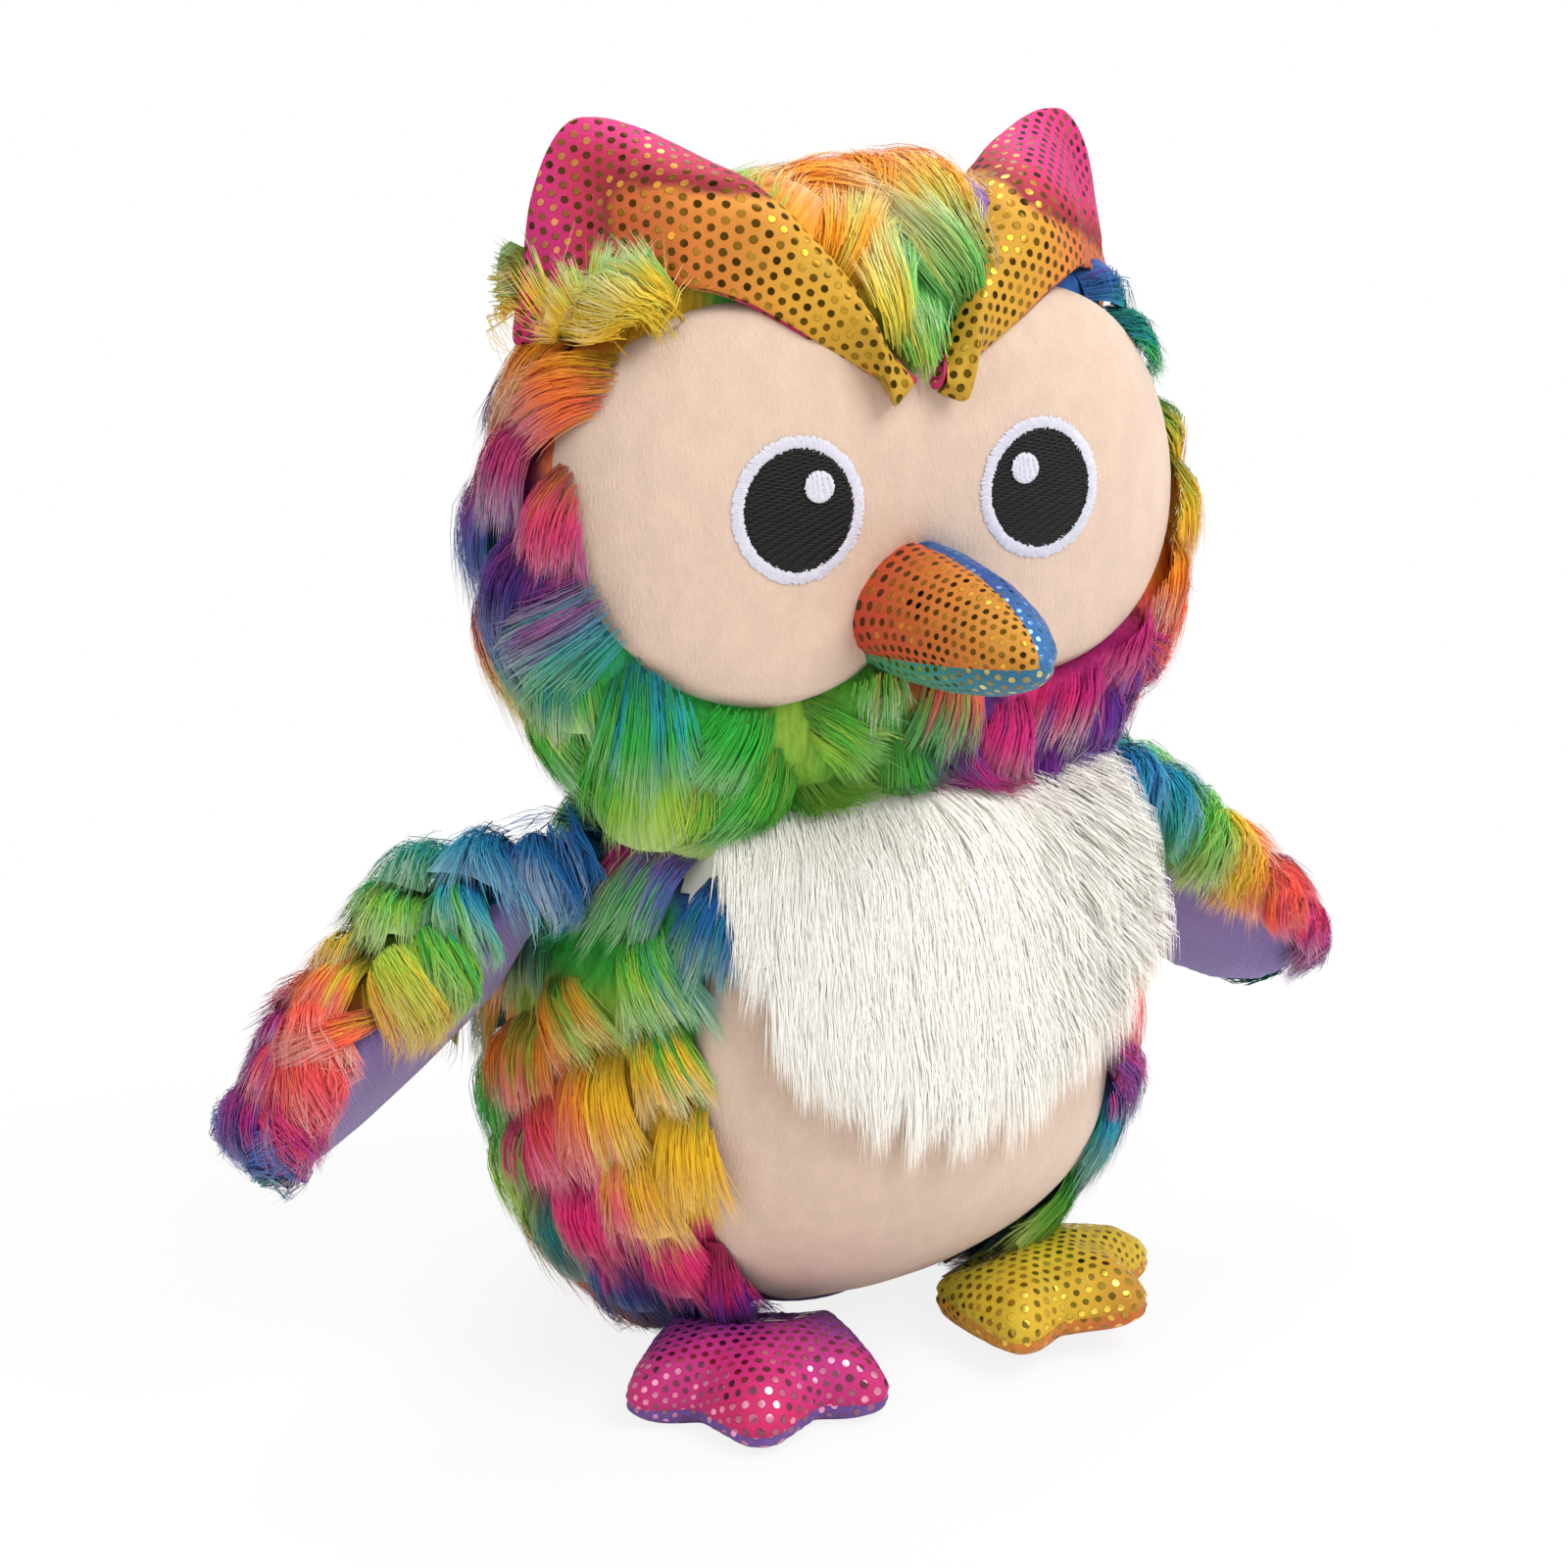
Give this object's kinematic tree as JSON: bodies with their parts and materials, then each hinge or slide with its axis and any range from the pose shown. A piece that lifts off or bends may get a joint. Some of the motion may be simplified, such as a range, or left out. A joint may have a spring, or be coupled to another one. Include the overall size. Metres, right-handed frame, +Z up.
{
  "type": "plush owl",
  "caption": "Stuffed soft-toy owl in long tie-dyed fur with a cream face and belly, white bib, shiny ears, beak and feet, and hinged wings, feet and head.",
  "frame": {"origin": "on the ground, on the base panel, below the middle of the body", "axes": "+Z up; the owl faces -Y; +X is the owl's own left side"},
  "size_m": [0.257, 0.1495, 0.2539],
  "materials": {
    "rainbow_fur": "long rosette plush pile, tie-dyed in rainbow patches",
    "cream_minky": "short brushed minky pile, cream",
    "white_fur": "long straight white pile",
    "purple_tricot": "flat brushed tricot, dusty purple",
    "pink_foil": "knit printed with rows of shiny foil dots, magenta pink",
    "gold_foil": "knit printed with rows of shiny foil dots, gold",
    "blue_foil": "knit printed with rows of shiny foil dots, blue",
    "green_foil": "knit printed with rows of shiny foil dots, sea green",
    "orange_foil": "knit printed with rows of shiny foil dots, orange",
    "violet_foil": "knit printed with rows of shiny foil dots, violet",
    "black_thread": "satin-stitch embroidery, black",
    "white_thread": "satin-stitch embroidery, white",
    "filling": "loose polyester fibre filling"
  },
  "bodies": {
    "body": {"body_cover": "rainbow_fur", "belly_panel": "cream_minky", "chest_bib": "white_fur", "body_stuffing": "filling", "base_panel": "rainbow_fur"},
    "head": {"head_cover": "rainbow_fur", "face_panel": "cream_minky", "head_stuffing": "filling", "ear_front_left": "pink_foil", "ear_back_left": "gold_foil", "ear_front_right": "pink_foil", "ear_back_right": "gold_foil", "eye_white_left": "white_thread", "eye_pupil_left": "black_thread", "eye_glint_left": "white_thread", "eye_white_right": "white_thread", "eye_pupil_right": "black_thread", "eye_glint_right": "white_thread", "beak_panel_left": "blue_foil", "beak_panel_right": "orange_foil", "beak_panel_lower": "green_foil", "beak_stuffing": "filling"},
    "left_wing": {"wing_fur_left": "rainbow_fur", "wing_lining_left": "purple_tricot", "wing_batting_left": "filling"},
    "right_wing": {"wing_fur_right": "rainbow_fur", "wing_lining_right": "purple_tricot", "wing_batting_right": "filling"},
    "left_foot": {"foot_top_left": "gold_foil", "foot_sole_left": "orange_foil", "foot_stuffing_left": "filling"},
    "right_foot": {"foot_top_right": "pink_foil", "foot_sole_right": "violet_foil", "foot_stuffing_right": "filling"}
  },
  "joints": [
    {"name": "head_turn", "type": "hinge", "parent": "body", "child": "head", "pos_m": [0, -0.008, 0.12], "axis": [0, 0, 1], "range_deg": [-15, 15], "stiffness_Nm_per_rad": 0.5},
    {"name": "left_wing_flap", "type": "hinge", "parent": "body", "child": "left_wing", "pos_m": [0.0617, -0.004, 0.1], "axis": [-0.3139, -0.4588, 0.8312], "range_deg": [-18, 35], "stiffness_Nm_per_rad": 0.3},
    {"name": "right_wing_flap", "type": "hinge", "parent": "body", "child": "right_wing", "pos_m": [-0.0617, -0.004, 0.1], "axis": [-0.3139, 0.4588, -0.8312], "range_deg": [-18, 35], "stiffness_Nm_per_rad": 0.3},
    {"name": "left_foot_flex", "type": "hinge", "parent": "body", "child": "left_foot", "pos_m": [0.0275, -0.0275, 0.0085], "axis": [-0.9063, -0.4226, 0], "range_deg": [-9, 9], "stiffness_Nm_per_rad": 0.5},
    {"name": "right_foot_flex", "type": "hinge", "parent": "body", "child": "right_foot", "pos_m": [-0.0275, -0.0275, 0.0085], "axis": [-0.9063, 0.4226, 0], "range_deg": [0, 18], "stiffness_Nm_per_rad": 0.5}
  ]
}
